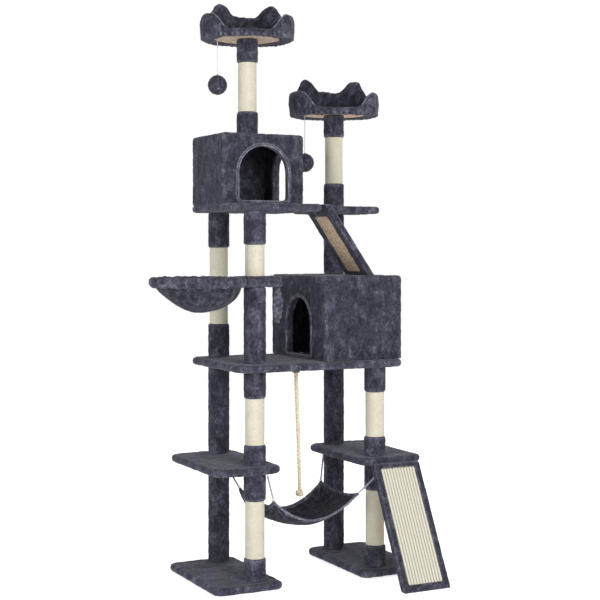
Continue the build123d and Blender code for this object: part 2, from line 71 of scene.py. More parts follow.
draws = np.random.default_rng(11)
SHUFFLE = draws.permutation(256)
SLOPES = draws.normal(size=(256, 3))
SLOPES /= np.linalg.norm(SLOPES, axis=1)[:, None]


def perlin(points):
    """Smooth noise from about -1 to 1 at each point."""
    cell = np.floor(points).astype(int)
    part = points - cell
    ease = part ** 3 * (part * (part * 6 - 15) + 10)
    total = np.zeros(len(points))
    for corner in np.ndindex(2, 2, 2):
        at = (cell + corner) & 255
        pick = SHUFFLE[(SHUFFLE[(SHUFFLE[at[:, 0]] + at[:, 1]) & 255] + at[:, 2]) & 255]
        weight = np.prod(np.where(np.array(corner) == 1, ease, 1 - ease), axis=1)
        total += weight * np.einsum("ij,ij->i", SLOPES[pick], part - corner)
    return total * 1.6


def lumps(points, height, size, seed):
    """Two octaves of noise of a given height and size, which may differ along X, Y and Z."""
    scaled = points / np.array(size)
    return height * (perlin(scaled + seed) + 0.5 * perlin(scaled * 2.1 + seed + 31.7))


# ---------------------------------------------------------------- materials

def start_material(name, roughness, specular, metallic=0.0):
    material = bpy.data.materials.new(name)
    material.use_nodes = True
    tree = material.node_tree
    shader = tree.nodes["Principled BSDF"]
    shader.inputs["Roughness"].default_value = roughness
    shader.inputs["Specular IOR Level"].default_value = specular
    shader.inputs["Metallic"].default_value = metallic
    return material, tree, shader


def add(tree, kind, inputs=None, **settings):
    node = tree.nodes.new(kind)
    for key, value in settings.items():
        setattr(node, key, value)
    for key, value in (inputs or {}).items():
        node.inputs[key].default_value = value
    return node


def noise(tree, scale, detail, roughness=0.55, distortion=0.0, stretch=(1, 1, 1), turn=(0, 0, 0)):
    """A noise value in object coordinates, stretched and turned."""
    place = add(tree, "ShaderNodeTexCoord")
    mapping = add(tree, "ShaderNodeMapping", {"Scale": stretch, "Rotation": turn})
    tree.links.new(place.outputs["Object"], mapping.inputs["Vector"])
    found = add(tree, "ShaderNodeTexNoise",
                {"Scale": scale, "Detail": detail, "Roughness": roughness, "Distortion": distortion})
    tree.links.new(mapping.outputs["Vector"], found.inputs["Vector"])
    return found.outputs["Fac"]


def ramp(tree, value, stops):
    """Colours along a value; stops are (place, colour)."""
    node = add(tree, "ShaderNodeValToRGB")
    elements = node.color_ramp.elements
    while len(elements) < len(stops):
        elements.new(0.5)
    for element, (place, colour) in zip(elements, stops):
        element.position = place
        element.color = (*colour, 1)
    tree.links.new(value, node.inputs["Fac"])
    return node.outputs["Color"]


def multiplied(tree, a, b, factor):
    """One colour times another, by a share of 0 to 1."""
    node = add(tree, "ShaderNodeMix", {"Factor": factor}, data_type="RGBA", blend_type="MULTIPLY")
    tree.links.new(a, node.inputs["A"])
    tree.links.new(b, node.inputs["B"])
    return node.outputs["Result"]


def bumps(tree, shader, layers):
    """A chain of bump nodes; layers are (height value, strength, distance)."""
    last = None
    for height, strength, distance in layers:
        node = add(tree, "ShaderNodeBump", {"Strength": strength, "Distance": distance})
        tree.links.new(height, node.inputs["Height"])
        if last:
            tree.links.new(last, node.inputs["Normal"])
        last = node.outputs["Normal"]
    tree.links.new(last, shader.inputs["Normal"])


def plush(name, dark, middle, light, patch, sheen):
    """Short crushed pile: soft patches where the pile lies another way, tufts, and fine fibres."""
    material, tree, shader = start_material(name, 0.97, 0.04)
    patches = noise(tree, patch, 6.0, 0.62, 0.5, (1, 1, 0.7), (0.25, 0.3, 0.2))
    colour = ramp(tree, patches, [(0.34, dark), (0.52, middle), (0.74, light)])
    tufts = noise(tree, 170.0, 4.0, 0.7, 0.3, (1, 1, 0.6), (0.3, 0.1, 0))
    tuft_shade = ramp(tree, tufts,
                      [(0.34, (0.56, 0.56, 0.58)), (0.52, (1.0, 1.0, 1.0)), (0.70, (1.95, 1.95, 1.92))])
    fibres = noise(tree, 900.0, 2.0, 0.6, 0.4, (1, 1, 0.35), (0.3, 0.1, 0))
    fibre_shade = ramp(tree, fibres, [(0.32, (0.72, 0.72, 0.73)), (0.68, (1.25, 1.25, 1.24))])
    # Painted highlight on convex edges and painted shade in hollows, read from the mesh's pointiness.
    convexity = add(tree, "ShaderNodeNewGeometry").outputs["Pointiness"]
    edge_shade = ramp(tree, convexity,
                      [(0.47, (0.70, 0.70, 0.71)), (0.502, (1.0, 1.0, 1.0)), (0.56, (2.3, 2.3, 2.3))])
    edged = multiplied(tree, colour, edge_shade, 1.0)
    tufted = multiplied(tree, edged, tuft_shade, 0.9)
    tree.links.new(multiplied(tree, tufted, fibre_shade, 0.8), shader.inputs["Base Color"])
    shader.inputs["Sheen Weight"].default_value = sheen
    shader.inputs["Sheen Roughness"].default_value = 0.40
    shader.inputs["Sheen Tint"].default_value = (0.80, 0.79, 0.92, 1)
    bumps(tree, shader, [(patches, 0.35, 0.004), (tufts, 0.55, 0.0025), (fibres, 0.55, 0.0010)])
    return material


def twine(name, dark, light, stretch, scale, rough=0.9):
    """Natural fibre: fine streaks along the twist, uneven in colour."""
    material, tree, shader = start_material(name, rough, 0.2)
    streaks = noise(tree, scale, 4.0, 0.65, 0.3, stretch, (0.5, 0.35, 0))
    broad = noise(tree, 22.0, 3.0, 0.5, 0.0)
    colour = ramp(tree, streaks, [(0.28, dark), (0.62, light)])
    tone = ramp(tree, broad, [(0.3, (0.93, 0.925, 0.90)), (0.7, (1.0, 1.0, 1.0))])
    tree.links.new(multiplied(tree, colour, tone, 1.0), shader.inputs["Base Color"])
    bumps(tree, shader, [(streaks, 0.6, 0.0008)])
    return material


def woven(name, dark, light):
    """Sisal cloth: round ribs up its length, with painted shade in the gaps between them and fibres across.
    """
    material, tree, shader = start_material(name, 0.9, 0.2)
    place = add(tree, "ShaderNodeTexCoord")
    phase = -2 * math.pi * WEAVE_START / RIB
    ribs = add(tree, "ShaderNodeTexWave", {"Scale": math.pi / (10 * RIB), "Phase Offset": phase},
               wave_type="BANDS", bands_direction="X", wave_profile="SIN")
    tree.links.new(place.outputs["Object"], ribs.inputs["Vector"])
    # Painted shade: the colour darkens in the grooves between the ribs.
    painted_groove_shade = ramp(tree, ribs.outputs["Fac"], [(0.02, (0.50, 0.48, 0.45)), (0.38, (1.0, 1.0, 1.0))])
    fibres = noise(tree, 420.0, 4.0, 0.65, 0.3, (0.35, 1, 1))
    colour = ramp(tree, fibres, [(0.28, dark), (0.62, light)])
    tree.links.new(multiplied(tree, colour, painted_groove_shade, 0.9), shader.inputs["Base Color"])
    bumps(tree, shader, [(fibres, 0.6, 0.0008)])
    return material


def chipboard(name, dark, middle, light):
    """Pressed wood chips under a sanded face."""
    material, tree, shader = start_material(name, 0.72, 0.35)
    place = add(tree, "ShaderNodeTexCoord")
    chips = add(tree, "ShaderNodeTexVoronoi", {"Scale": 260.0, "Randomness": 1.0}, feature="F1")
    mapping = add(tree, "ShaderNodeMapping", {"Scale": (1.0, 0.55, 1.0), "Rotation": (0.1, 0.2, 0.5)})
    tree.links.new(place.outputs["Object"], mapping.inputs["Vector"])
    tree.links.new(mapping.outputs["Vector"], chips.inputs["Vector"])
    colour = ramp(tree, chips.outputs["Color"], [(0.10, dark), (0.45, middle), (0.90, light)])
    dust = noise(tree, 900.0, 3.0, 0.6)
    shade = ramp(tree, dust, [(0.35, (0.82, 0.80, 0.78)), (0.65, (1.1, 1.1, 1.1))])
    tree.links.new(multiplied(tree, colour, shade, 1.0), shader.inputs["Base Color"])
    bumps(tree, shader, [(dust, 0.25, 0.0006)])
    return material


def hard(name, low, high, roughness, metallic=0.0, scale=120.0, stretch=(1, 1, 1)):
    """Moulded plastic, plated steel or card: a fine mottle and a slight surface texture."""
    material, tree, shader = start_material(name, roughness, 0.5, metallic)
    mottle = noise(tree, scale, 4.0, 0.6, 0.2, stretch)
    tree.links.new(ramp(tree, mottle, [(0.3, low), (0.7, high)]), shader.inputs["Base Color"])
    bumps(tree, shader, [(noise(tree, scale * 6, 2.0), 0.12, 0.0004)])
    return material


FINISH = {
    "plush": plush("plush", (0.0185, 0.0187, 0.0265), (0.0345, 0.0348, 0.048), (0.080, 0.082, 0.107),
                   30.0, 0.15),
    # A lighter copy of the plush, a painted highlight for the bindings, piping, hems and the basket tail.
    "highlight_plush": plush("highlight_plush", (0.034, 0.034, 0.046), (0.060, 0.060, 0.079), (0.115, 0.116, 0.145),
                         40.0, 0.15),
    "soft_cloth": plush("soft_cloth", (0.012, 0.012, 0.017), (0.025, 0.025, 0.034), (0.066, 0.066, 0.084),
                        40.0, 0.10),
    "ball_plush": plush("ball_plush", (0.016, 0.016, 0.022), (0.034, 0.033, 0.045), (0.09, 0.088, 0.112),
                        80.0, 0.2),
    "sisal": twine("sisal", (0.40, 0.375, 0.30), (0.53, 0.505, 0.415), (1, 1, 0.22), 420.0),
    "woven_sisal": woven("woven_sisal", (0.41, 0.39, 0.325), (0.54, 0.52, 0.445)),
    "rope_fibre": twine("rope_fibre", (0.40, 0.33, 0.22), (0.72, 0.65, 0.50), (1, 1, 0.25), 300.0),
    "elastic_cord": twine("elastic_cord", (0.19, 0.195, 0.23), (0.36, 0.37, 0.41), (1, 1, 0.6), 700.0, 0.8),
    "string": twine("string", (0.34, 0.35, 0.40), (0.58, 0.60, 0.66), (1, 1, 0.6), 900.0, 0.8),
    "bare_board": chipboard("bare_board", (0.22, 0.15, 0.10), (0.40, 0.295, 0.205), (0.56, 0.44, 0.32)),
    "particle_board": chipboard("particle_board", (0.24, 0.15, 0.08), (0.44, 0.31, 0.19), (0.60, 0.46, 0.30)),
    "cardboard_tube": hard("cardboard_tube", (0.30, 0.21, 0.13), (0.42, 0.31, 0.20), 0.85, 0.0, 60.0,
                           (1, 1, 0.2)),
    "plug_plastic": hard("plug_plastic", (0.018, 0.018, 0.019), (0.030, 0.030, 0.032), 0.45),
    "steel": hard("steel", (0.52, 0.52, 0.53), (0.66, 0.66, 0.67), 0.32, 1.0, 90.0, (1, 1, 4)),
    "rope_cap": hard("rope_cap", (0.10, 0.055, 0.028), (0.17, 0.10, 0.055), 0.5),
    "clip": hard("clip", (0.62, 0.62, 0.62), (0.78, 0.78, 0.77), 0.4),
}


def give(obj, finish):
    obj.data.materials.clear()
    obj.data.materials.append(FINISH[finish])


# ---------------------------------------------------------------- meshes

def loops(count_u, count_v, wrap_u, wrap_v):
    """The quads of a grid whose points run along v first."""
    u, v = np.meshgrid(np.arange(count_u - (not wrap_u)), np.arange(count_v - (not wrap_v)), indexing="ij")
    next_u, next_v = (u + 1) % count_u, (v + 1) % count_v
    quads = [u * count_v + v, next_u * count_v + v, next_u * count_v + next_v, u * count_v + next_v]
    return np.stack(quads, -1).reshape(-1, 4)


def closed_grid(points, wrap_u=True, wrap_v=True):
    """Points (u, v, 3) as (points, quads), with the quads facing out of a closed form."""
    count_u, count_v = points.shape[:2]
    flat, quads = points.reshape(-1, 3), loops(count_u, count_v, wrap_u, wrap_v)
    middle = flat - flat.mean(axis=0)
    a, b, c, d = (middle[quads[:, k]] for k in range(4))
    volume = np.einsum("ij,ij->", a, np.cross(b, c)) + np.einsum("ij,ij->", a, np.cross(c, d))
    return flat, (quads if volume > 0 else quads[:, ::-1])


def joined(parts):
    """Several (points, faces) as one."""
    points, faces, start = [], [], 0
    for part_points, part_faces in parts:
        points.append(part_points)
        faces.extend((np.array(f) + start).tolist() for f in part_faces)
        start += len(part_points)
    return np.concatenate(points), faces


def placed_object(name, data):
    obj = bpy.data.objects.new(name, data)
    bpy.context.scene.collection.objects.link(obj)
    return obj


def add_mesh(name, points, faces):
    mesh = bpy.data.meshes.new(name)
    mesh.from_pydata(np.asarray(points).tolist(), [], [list(map(int, f)) for f in faces])
    mesh.update()
    mesh.shade_smooth()
    return placed_object(name, mesh)


def settle(obj, finish, body, *nodes):
    """Gives a piece its finish and its body, and hides the CAD nodes that it stands for."""
    give(obj, finish)
    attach(obj, body)
    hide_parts(*nodes)
    return obj


def points_of(mesh, what="co"):
    values = np.empty(len(mesh.vertices) * 3)
    mesh.vertices.foreach_get(what, values)
    return values.reshape(-1, 3)


def swell(obj, amount):
    """Moves each point along its normal; amount is a function of the points."""
    mesh = obj.data
    points = points_of(mesh)
    moved = points + points_of(mesh, "normal") * amount(points)[:, None]
    mesh.vertices.foreach_set("co", moved.ravel())
    mesh.update()


def applied(obj, name):
    """An object of the same form with its modifiers applied, in place of the first."""
    mesh = bpy.data.meshes.new_from_object(obj.evaluated_get(bpy.context.evaluated_depsgraph_get()))
    bpy.data.objects.remove(obj)
    mesh.name = name
    return placed_object(name, mesh)


def cad_mesh(*nodes):
    """The CAD nodes' own triangles, merged, as a bmesh."""
    form = bmesh.new()
    for node in nodes:
        form.from_mesh(NODES[node].data)
    bmesh.ops.remove_doubles(form, verts=form.verts, dist=1e-5)
    return form


def skin(name, outer_nodes, core_nodes, finish, body, replaced, seed, voxel=0.004, relax=8, crush=0.0012,
         wide=0.034, extra=None):
    """A padded plush skin round the outer form of some CAD nodes, hollow where their boards lie."""
    mesh = bpy.data.meshes.new(name)
    cad_mesh(*outer_nodes).to_mesh(mesh)
    obj = placed_object(name, mesh)
    remesh = obj.modifiers.new("remesh", "REMESH")
    remesh.mode, remesh.voxel_size = "VOXEL", voxel
    smooth = obj.modifiers.new("smooth", "SMOOTH")
    smooth.factor, smooth.iterations = 0.5, relax
    obj = applied(obj, name)

    def crushed(points):
        broad = lumps(points, crush, (wide, wide, wide), seed)
        fine = lumps(points, crush * 0.5, (0.011, 0.011, 0.011), seed + 9)
        return broad + fine + (extra(points) if extra else 0)
    swell(obj, crushed)
    if core_nodes:
        form = bmesh.new()
        form.from_mesh(obj.data)
        core = cad_mesh(*core_nodes)
        core_mesh = bpy.data.meshes.new("core")
        bmesh.ops.reverse_faces(core, faces=core.faces)
        core.to_mesh(core_mesh)
        form.from_mesh(core_mesh)
        form.to_mesh(obj.data)
        bpy.data.meshes.remove(core_mesh)
    obj.data.shade_smooth()
    return settle(obj, finish, body, *replaced)


def frames_along(path, closed=False):
    """Two unit vectors square to a path at each of its points, turning as little as they can."""
    if closed:
        ahead = np.roll(path, -1, axis=0) - np.roll(path, 1, axis=0)
    else:
        ahead = np.gradient(path, axis=0)
    ahead /= np.linalg.norm(ahead, axis=1)[:, None]
    side = np.cross(ahead[0], (0.31, 0.17, 0.93))
    first = []
    for direction in ahead:
        side = side - direction * side.dot(direction)
        side /= np.linalg.norm(side)
        first.append(side)
    first = np.array(first)
    return first, np.cross(ahead, first)


def tube(path, radius, sides, closed=False):
    """(points, faces) of a round tube; radius is a number or one for each point."""
    path = np.asarray(path, float)
    first, second = frames_along(path, closed)
    radius = np.broadcast_to(radius, len(path))
    angle = np.linspace(0, 2 * math.pi, sides, endpoint=False)
    ring = np.cos(angle)[None, :, None] * first[:, None] + np.sin(angle)[None, :, None] * second[:, None]
    points = path[:, None] + ring * radius[:, None, None]
    flat, quads = closed_grid(points, closed, True)
    faces = quads.tolist()
    if not closed:
        start, end = list(range(sides)), list(range(len(flat) - sides, len(flat)))
        quad = flat[quads[0]]
        normal = np.cross(quad[1] - quad[0], quad[3] - quad[0])
        if normal.dot(quad.mean(axis=0) - path[:2].mean(axis=0)) < 0:
            faces = [f[::-1] for f in faces]
        cap = flat[start]
        cap_normal = np.cross(cap[1] - cap[0], cap[2] - cap[0])
        backward = cap_normal.dot(path[1] - path[0]) < 0
        faces.append(start if backward else start[::-1])
        faces.append(end[::-1] if backward else end)
    return flat, faces


def curve_through(points, count):
    """A smooth line of count points through some points (Catmull-Rom)."""
    points = np.asarray(points, float)
    padded = np.vstack([2 * points[0] - points[1], points, 2 * points[-1] - points[-2]])
    place = np.linspace(0, len(points) - 1 - 1e-9, count)
    i = place.astype(int)
    t = (place - i)[:, None]
    a, b, c, d = padded[i], padded[i + 1], padded[i + 2], padded[i + 3]
    square, cube = 2 * a - 5 * b + 4 * c - d, 3 * b - a - 3 * c + d
    return 0.5 * (2 * b + (c - a) * t + square * t ** 2 + cube * t ** 3)


# ---------------------------------------------------------------- posts

def turned(x, y, profile, sides, wave):
    """A closed form turned about a vertical axis from (radius, height) pairs; wave changes the radius."""
    profile = np.asarray(profile, float)
    angle = np.linspace(0, 2 * math.pi, sides, endpoint=False)
    radius = np.broadcast_to(profile[None, :, 0], (sides, len(profile)))
    radius = wave(angle[:, None], profile[None, :, 1], radius)
    points = np.stack([x + radius * np.cos(angle)[:, None], y + radius * np.sin(angle)[:, None],
                       np.broadcast_to(profile[None, :, 1], radius.shape)], -1)
    return closed_grid(points)


INNER_R = TUBE_R + 0.0002          # sleeves and windings clear the tube by this much


def sleeve(x, y, low, high):
    """One padded plush sleeve with rounded ends and a sewn seam at the back."""
    step, end_gap, edge_r = 0.004, 0.0003, 0.0335
    round_off, round_length = 0.0045, 0.0022
    seam_at, seam_width, seam_depth = math.radians(118), 0.055, 0.0016
    steps = max(3, round((high - low) / step))
    outer = [(PLUSH_R - round_off * math.exp(-min(z - low, high - z) / round_length), z)
             for z in np.linspace(low + end_gap, high - end_gap, steps)]
    profile = [(INNER_R, low + 0.0002), (edge_r, low + 0.0001)] + outer
    profile += [(edge_r, high - 0.0001), (INNER_R, high - 0.0002)]

    def seam(angle, height, radius):
        away = (angle - seam_at) / seam_width
        return radius - np.where(radius > edge_r + 0.0005, seam_depth * np.exp(-away ** 2), 0)
    return turned(x, y, profile, 72, seam)


def winding(x, y, low, high):
    """Sisal twine wound side by side round the tube."""
    pitch, per_turn, groove_depth = 0.0046, 7, 0.0019
    rows = np.arange(low + 0.0004, high - 0.0004, pitch / per_turn)
    profile = [(INNER_R, rows[0])] + [(SISAL_R, z) for z in rows] + [(INNER_R, rows[-1])]

    def wound(angle, height, radius):
        place = (height / pitch + angle / (2 * math.pi)) % 1 * 2 - 1
        groove = groove_depth * (1 - np.sqrt(np.clip(1 - place ** 2, 0, 1)))
        return radius - np.where(radius > TUBE_R + 0.001, groove, 0)
    return turned(x, y, profile, 96, wound)


# Each post's place, the spans of its plush sleeves and the spans of its sisal, from the floor up.
LOW_SISAL, MIDDLE_SISAL = (0.108, 0.313), (0.512, 0.679)
FRONT_SLEEVES = [(BASE_TOP, LOW_SISAL[0]), (LOW_SISAL[1], SHELF_UNDER),
                 (SHELF_TOP, MIDDLE_SISAL[0]), (MIDDLE_SISAL[1], DECK_UNDER)]
REAR_SLEEVES = [(BASE_TOP, SHELF_UNDER), (SHELF_TOP, DECK_UNDER)]
POST_SPANS = {
    "rear_left": (LEFT_X, REAR_Y, REAR_SLEEVES + [(DECK_TOP, 0.929), (1.217, UPPER_UNDER)], [(0.929, 1.217)]),
    "front_left": (LEFT_X, FRONT_Y, FRONT_SLEEVES + [(DECK_TOP, 1.076), (1.228, UPPER_UNDER)],
                   [LOW_SISAL, MIDDLE_SISAL, (1.115, 1.228)]),
    "rear_right": (RIGHT_X, REAR_Y,
                   REAR_SLEEVES + [(1.113, UPPER_UNDER), (UPPER_TOP, 1.469), (1.652, SIDE_PERCH_UNDER)],
                   [(1.469, 1.652)]),
    "front_right": (RIGHT_X, FRONT_Y, FRONT_SLEEVES, [LOW_SISAL, MIDDLE_SISAL]),
    "top": (TOP_POST_X, TOP_POST_Y, [(1.636, 1.727), (1.912, TOP_PERCH_UNDER)], [(1.727, 1.912)]),
}

for order, (post, (x, y, plush_spans, sisal_spans)) in enumerate(POST_SPANS.items()):
    sleeves = add_mesh(f"{post}_plush_sleeves", *joined([sleeve(x, y, *span) for span in plush_spans]))

    def post_crush(points, x=x, y=y, seed=order * 7.3):
        outside = np.hypot(points[:, 0] - x, points[:, 1] - y) > 0.0345
        return np.where(outside, lumps(points, 0.0010, (0.03, 0.03, 0.02), seed)
                        + lumps(points, 0.0005, (0.009, 0.009, 0.009), seed), 0)
    swell(sleeves, post_crush)
    settle(sleeves, "plush", "tree", f"{post}_post_plush")
    wound = add_mesh(f"{post}_sisal_winding", *joined([winding(x, y, *span) for span in sisal_spans]))
    settle(wound, "sisal", "tree", f"{post}_post_sisal")


# ---------------------------------------------------------------- boards and condos

BOARDS = ("base_left", "base_right", "lower_left_shelf", "lower_right_shelf", "middle_deck", "upper_deck",
          "side_shelf")
for order, board in enumerate(BOARDS):
    skin(f"{board}_plush", [f"{board}_cover", f"{board}_board"], [f"{board}_board"], "plush", "tree",
         [f"{board}_cover"], seed=order * 5.1)

for order, condo in enumerate(("upper_condo", "lower_condo")):
    skin(f"{condo}_plush", [f"{condo}_cover", f"{condo}_panels"], [f"{condo}_panels"], "plush", "tree",
         [f"{condo}_cover"], seed=50 + order * 5.1, crush=0.0015)


def door_outline(centre, half, low, top):
    """A closed door outline in (along the wall, up), at even steps."""
    corner, step = 0.014, 0.004
    spring = top - half
    turn = np.linspace(0, math.pi, 48)
    arch = [(centre + half * math.cos(a), spring + half * math.sin(a)) for a in turn]
    left_foot = [(centre - half + corner * (1 - math.cos(a)), low + corner * (1 - math.sin(a)))
                 for a in np.linspace(0, math.pi / 2, 7)]
    right_foot = [(2 * centre - px, pz) for px, pz in reversed(left_foot)]
    corners = np.array(arch + left_foot + right_foot + arch[:1])
    lengths = np.concatenate([[0], np.cumsum(np.linalg.norm(np.diff(corners, axis=0), axis=1))])
    even = np.linspace(0, lengths[-1], int(lengths[-1] / step))[:-1]
    return np.stack([np.interp(even, lengths, corners[:, k]) for k in (0, 1)], 1)


# The door binding's section in mm: (into the wall, through the wall), with two ridges on the outer face.
BINDING = [(10.0, 0.6), (9.6, -1.0), (8.4, -2.0), (7.0, -2.1), (5.8, -1.3), (5.0, -0.8), (4.2, -1.5),
           (2.8, -2.8), (0.8, -3.1), (-1.3, -2.3), (-2.3, 0.0), (-2.6, 6.0), (-2.4, 12.0), (-2.6, 18.0),
           (-2.4, 24.0), (-1.0, 26.4), (2.0, 27.2), (6.0, 26.8), (10.0, 26.2), (12.5, 24.8), (12.5, 23.4),
           (4.0, 22.0), (1.5, 12.0), (4.0, 2.0)]


def binding(name, outline, to_space):
    """A double-piped strip of plush that wraps the edge of a door."""
    tangent = np.roll(outline, -1, axis=0) - np.roll(outline, 1, axis=0)
    tangent /= np.linalg.norm(tangent, axis=1)[:, None]
    away = np.stack([tangent[:, 1], -tangent[:, 0]], 1)
    if (away * (outline - outline.mean(axis=0))).sum() < 0:
        away = -away
    section = np.array(BINDING) / 1000
    flat = outline[:, None] + away[:, None] * section[None, :, :1]
    depth = np.broadcast_to(section[None, :, 1], flat.shape[:2])
    points = np.stack(to_space(flat[..., 0], flat[..., 1], depth), -1)
    obj = add_mesh(name, *closed_grid(points))
    swell(obj, lambda p: lumps(p, 0.0008, (0.012, 0.012, 0.012), 3.3))
    # The binding gets the lighter plush copy as a painted highlight.
    return settle(obj, "highlight_plush", "tree")


UPPER_CONDO_FRONT_Y, UPPER_CONDO_RIGHT_X, LOWER_CONDO_LEFT_X = 0.002, 0.1045, 0.1105
UPPER_SILL, LOWER_SILL = UPPER_TOP + 0.012, DECK_TOP + 0.012
binding("upper_condo_front_door_binding", door_outline(TOP_POST_X, 0.101, UPPER_SILL, 1.592),
        lambda along, up, depth: (along, UPPER_CONDO_FRONT_Y + depth, up))
binding("upper_condo_side_door_binding", door_outline(TOP_POST_Y, 0.070, UPPER_SILL, 1.575),
        lambda along, up, depth: (UPPER_CONDO_RIGHT_X - depth, along, up))
binding("lower_condo_door_binding", door_outline(0.060, 0.100, LOWER_SILL, 1.034),
        lambda along, up, depth: (LOWER_CONDO_LEFT_X + depth, along, up))


# ---------------------------------------------------------------- perches

# The wall's height in mm over the board's underside, at angles in degrees from the front.
WALL_TOPS = [(0, 16), (27, 17), (34, 25), (43, 58), (52, 79), (63, 87), (85, 89), (104, 87), (112, 85),
             (120, 89), (126, 108), (129.5, 129), (133.5, 145), (138, 153), (142.5, 155), (147.5, 153),
             (152, 146), (156, 136), (159, 124), (162, 115), (166, 111.5), (172, 110.5), (180, 110)]
RIGHT_SIDE_SHARE = 0.965           # the right side of the wall is a little lower than the left
BOARD_RECESS = [(2, 15.3), (60, 15.3), (120, 15.3), (158, 15.3), (164.4, 15.2), (164.4, 8), (164.4, -0.3),
                (150, -0.3), (130, -0.3)]


def perch(prefix, x, y, under, seed):
    """A round padded seat: a low roll in front, side lobes and two ears behind, all round a bare board."""
    count = 256
    angle = np.linspace(-math.pi, math.pi, count, endpoint=False)
    degrees = np.abs(np.degrees(angle))
    places, tops = np.array(WALL_TOPS, float).T
    top = np.interp(degrees, places, tops)
    kernel = np.array([1, 4, 6, 4, 1]) / 16
    for _ in range(3):
        top = np.convolve(np.concatenate([top[-2:], top, top[:2]]), kernel, "valid")
    top = top * np.where(angle < 0, 1.0, RIGHT_SIDE_SHARE)
    front = np.clip((44 - degrees) / 14, 0, 1)
    ear = np.exp(-((degrees - 145) / 17) ** 2)
    seat = 25 - 9 * front
    sections = []
    for a in range(count):
        h, f, e, s = top[a], front[a], ear[a], seat[a]
        droop = -4 - 7 * f
        control = [(122, -0.4), (124, -3.6), (136, -4.6), (152, -4.8 + 0.3 * droop), (166, droop - 1),
                   (174, droop + 5), (177, 4 + 0.25 * h), (177 - 2 * e, 0.62 * h), (174 - e, 0.86 * h),
                   (168 - 2 * e, 0.97 * h), (161 - e, h), (153 - e, 0.97 * h),
                   (147 + 3 * e, max(0.86 * h, s - 2)), (141 + 2 * e, max(0.62 * h, s - 1)),
                   (138, max(0.30 * h, s)), (132, s + 0.5), (118, s + 2.5),
                   (95, s + 3.5), (60, s + 4.5), (25, s + 5), (2, s + 5)]
        outer = curve_through(np.array([(r, 0, z) for r, z in control]), 86)[:, [0, 2]]
        sections.append(np.vstack([outer, BOARD_RECESS]))
    sections = np.array(sections) / 1000
    radius, height = sections[..., 0], sections[..., 1]
    points = np.stack([radius * np.sin(angle)[:, None], -radius * np.cos(angle)[:, None], height], -1)
    cos_turn, sin_turn = math.cos(PERCH_TURN), math.sin(PERCH_TURN)

    def placed(p):
        return np.stack([x + p[..., 0] * cos_turn - p[..., 1] * sin_turn,
                         y + p[..., 0] * sin_turn + p[..., 1] * cos_turn, under + p[..., 2]], -1)
    obj = add_mesh(f"{prefix}_cushion_padding", *closed_grid(placed(points)))

    def puckers(world):
        """Pleats below, gathers where the front roll ends, a notch before each ear, and broad folds."""
        flat = points.reshape(-1, 3)
        r = np.hypot(flat[:, 0], flat[:, 1])
        a = np.degrees(np.arctan2(flat[:, 0], -flat[:, 1]))
        side = np.abs(a)
        off_board = (flat[:, 2] > 0.0156) | (flat[:, 2] < -0.0006) | (r > 0.166)
        pleats = 0.0014 * np.sin(np.radians(a) * 46 + 2 * perlin(flat * 25)) * (flat[:, 2] < 0.002)
        gather = -0.0035 * np.exp(-((side - 35) / 1.6) ** 2) - 0.0025 * np.exp(-((side - 41) / 1.4) ** 2)
        gather = gather * (r > 0.145) * (flat[:, 2] < 0.09)
        notch = -0.003 * np.exp(-((side - 117) / 2.2) ** 2) * (r > 0.135) * (flat[:, 2] > 0.02)
        folds = 0.0022 * np.sin(np.radians(a) * 21 + flat[:, 2] * 60 + 3 * perlin(flat * 18 + seed))
        folds = folds * (r > 0.14) * np.clip(flat[:, 2] / 0.03, 0, 1) * 0.5
        return (pleats + gather + notch + folds + lumps(world, 0.0022, (0.034, 0.034, 0.026), seed)
                + lumps(world, 0.0010, (0.012, 0.012, 0.012), seed)) * off_board
    swell(obj, puckers)
    settle(obj, "plush", "tree", f"{prefix}_cushion")
    seams, seam_r, seam_from, seam_to = [], 0.165, math.radians(31), math.radians(58)
    for sign in (-1, 1):
        pick = np.flatnonzero((angle * sign > seam_from) & (angle * sign < seam_to))
        ridge = np.stack([seam_r * np.sin(angle[pick]), -seam_r * np.cos(angle[pick]),
                          top[pick] / 1000 + 0.0006], -1)
        seams.append(tube(placed(ridge), 0.0024, 8))
    # The seam piping gets the lighter plush copy as a painted highlight.
    settle(add_mesh(f"{prefix}_seam_piping", *joined(seams)), "highlight_plush", "tree")


perch("top_perch", TOP_POST_X, TOP_POST_Y, TOP_PERCH_UNDER, 2.0)
perch("side_perch", RIGHT_X, REAR_Y, SIDE_PERCH_UNDER, 8.0)


# ---------------------------------------------------------------- basket

def scrunch(points):
    """Close folds across the basket's roll and arm."""
    around = np.arctan2(points[:, 1] - FRONT_Y, points[:, 0] - RING_X)
    on_ring = np.abs(np.hypot(points[:, 0] - RING_X, points[:, 1] - FRONT_Y) - RING_R) < 0.03
    on_roll = 0.0010 * np.sin(around * 31 + 5 * perlin(points * 17)) * on_ring
    return on_roll + lumps(points, 0.0022, (0.026, 0.026, 0.018), 4.0)


skin("basket_roll_and_arm", ["basket_frame_cover", "basket_frame"], ["basket_frame"], "plush", "basket",
     ["basket_frame_cover"], seed=71, voxel=0.0032, relax=6, wide=0.022, extra=scrunch)

BOWL_RIM_Z, BOWL_R, BOWL_DEPTH, BOWL_CLOTH = 1.0863, 0.1545, 0.0975, 0.0055
BOWL_FOLDS = ((3.9, 0.5, 0.09), (4.35, 0.42, 0.08))     # angle at the rim, drift towards the bottom, width


